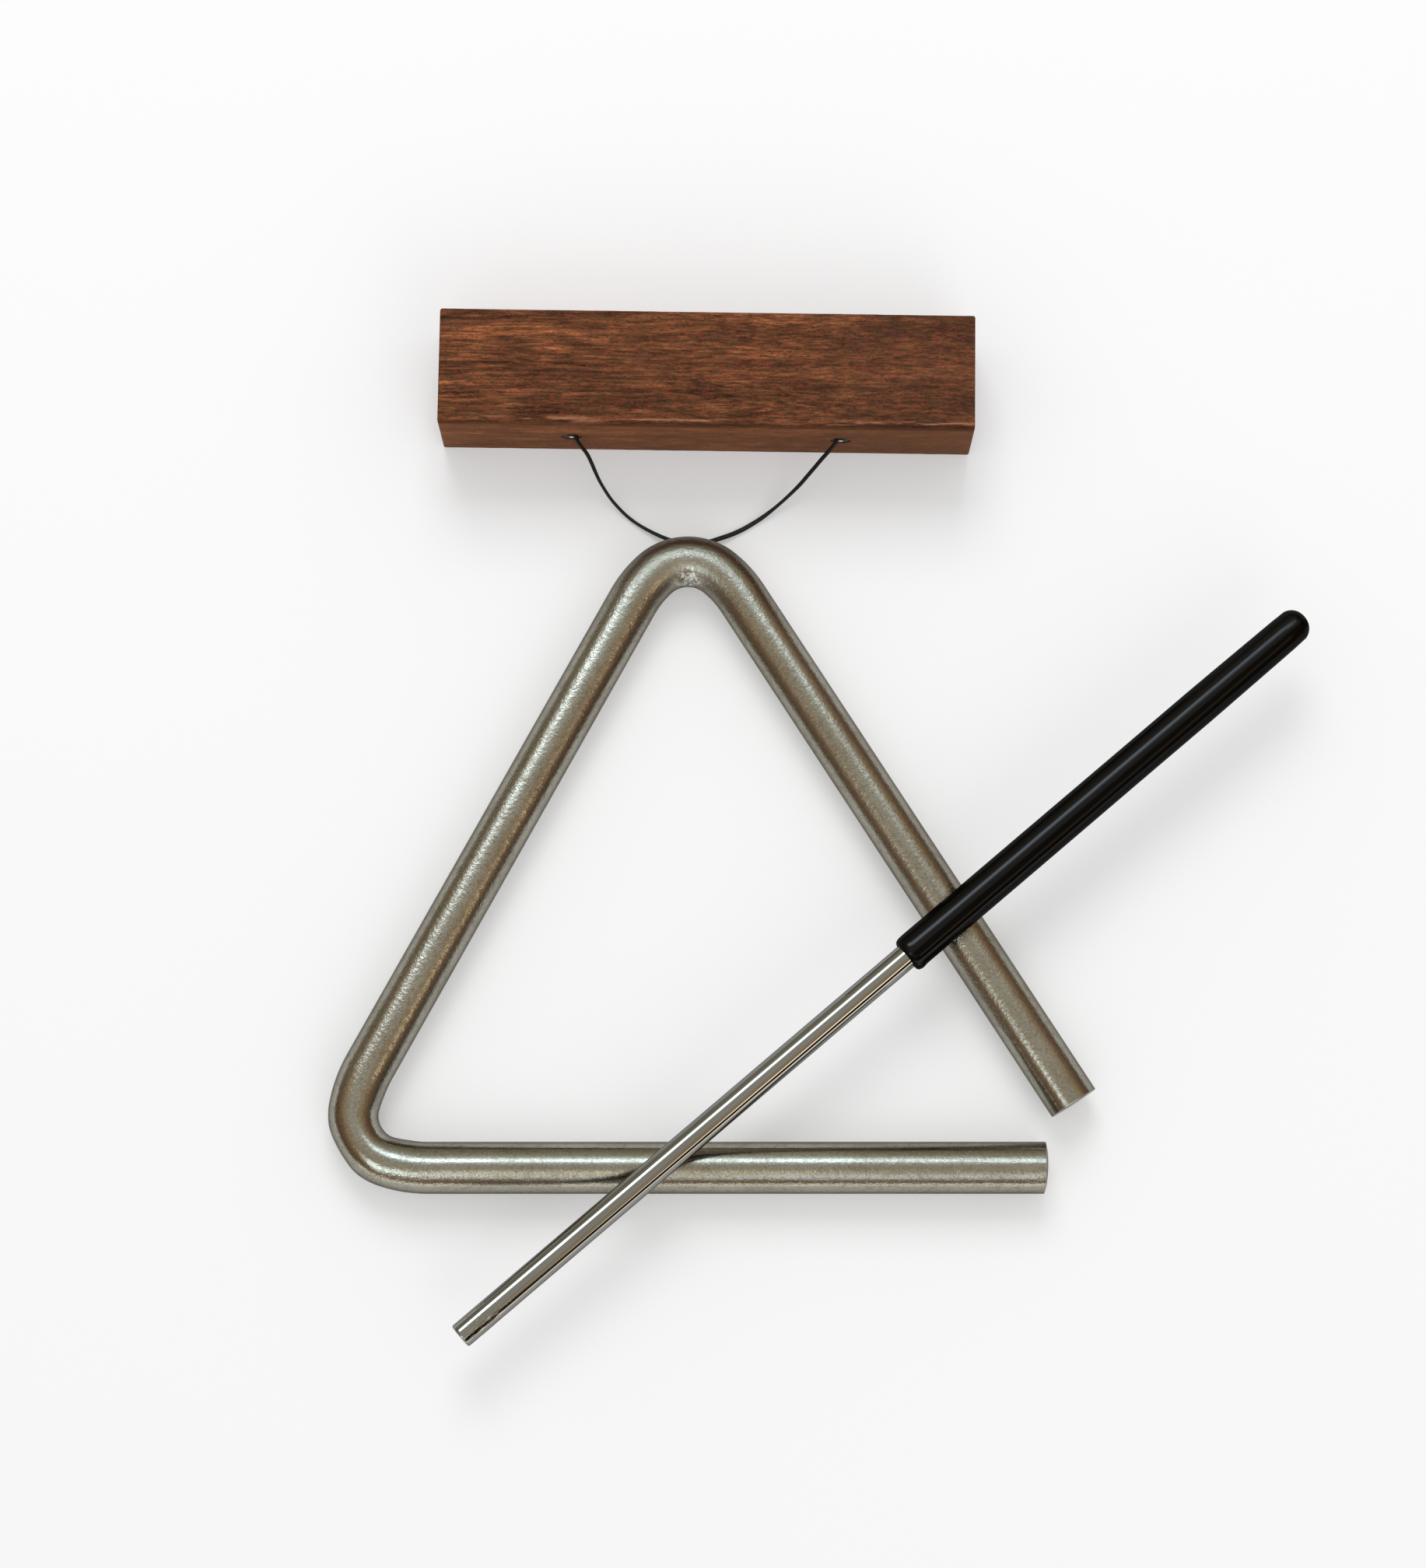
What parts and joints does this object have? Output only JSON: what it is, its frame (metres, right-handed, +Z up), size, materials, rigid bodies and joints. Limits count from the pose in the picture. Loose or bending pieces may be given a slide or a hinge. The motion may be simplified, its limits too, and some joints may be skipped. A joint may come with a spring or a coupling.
{
  "type": "triangle instrument",
  "caption": "Open steel hand percussion triangle with a hardwood holder on a black cord loop and a plated steel beater with a dipped vinyl grip, laid out flat.",
  "frame": {"origin": "on the table, under the middle of the box of everything but the cord", "axes": "+Z up from the table that the pieces lie on, +Y from the bottom leg to the holder, +X to the open corner's side"},
  "size_m": [0.1811, 0.1918, 0.019],
  "materials": {
    "plated_bar": "satin plated steel with a fine pebbled grain",
    "mahogany": "sanded dark red-brown hardwood, open pores along the length, bare",
    "clear_glue": "hardened glue, glossy, dark in its hole with a pale dried drop at the mouth",
    "black_cord": "thin waxed black cord, satin",
    "bright_steel": "bright drawn and plated steel, smooth",
    "black_vinyl": "dipped soft vinyl, glossy black"
  },
  "bodies": {
    "triangle": {"triangle_bar": "plated_bar"},
    "loop": {"cord_loop": "black_cord"},
    "holder": {"holder_block": "mahogany", "glue_plug_left": "clear_glue", "glue_plug_right": "clear_glue", "cord_end_left": "black_cord", "cord_end_right": "black_cord"},
    "beater": {"beater_rod": "bright_steel", "beater_grip": "black_vinyl"}
  },
  "joints": [
    {"name": "loop_swing", "type": "hinge", "parent": "triangle", "child": "loop", "pos_m": [-0.0245, 0.05026, 0.00476], "axis": [1, 0, 0], "range_deg": [0, 100]},
    {"name": "holder_tip", "type": "hinge", "parent": "loop", "child": "holder", "pos_m": [-0.02115, 0.07275, 0.0095], "axis": [0.9999, -0.0147, 0], "range_deg": [-45, 90]},
    {"name": "beater_lift", "type": "slide", "parent": "triangle", "child": "beater", "axis": [0, 0, 1], "range_m": [0, 0.08]}
  ]
}
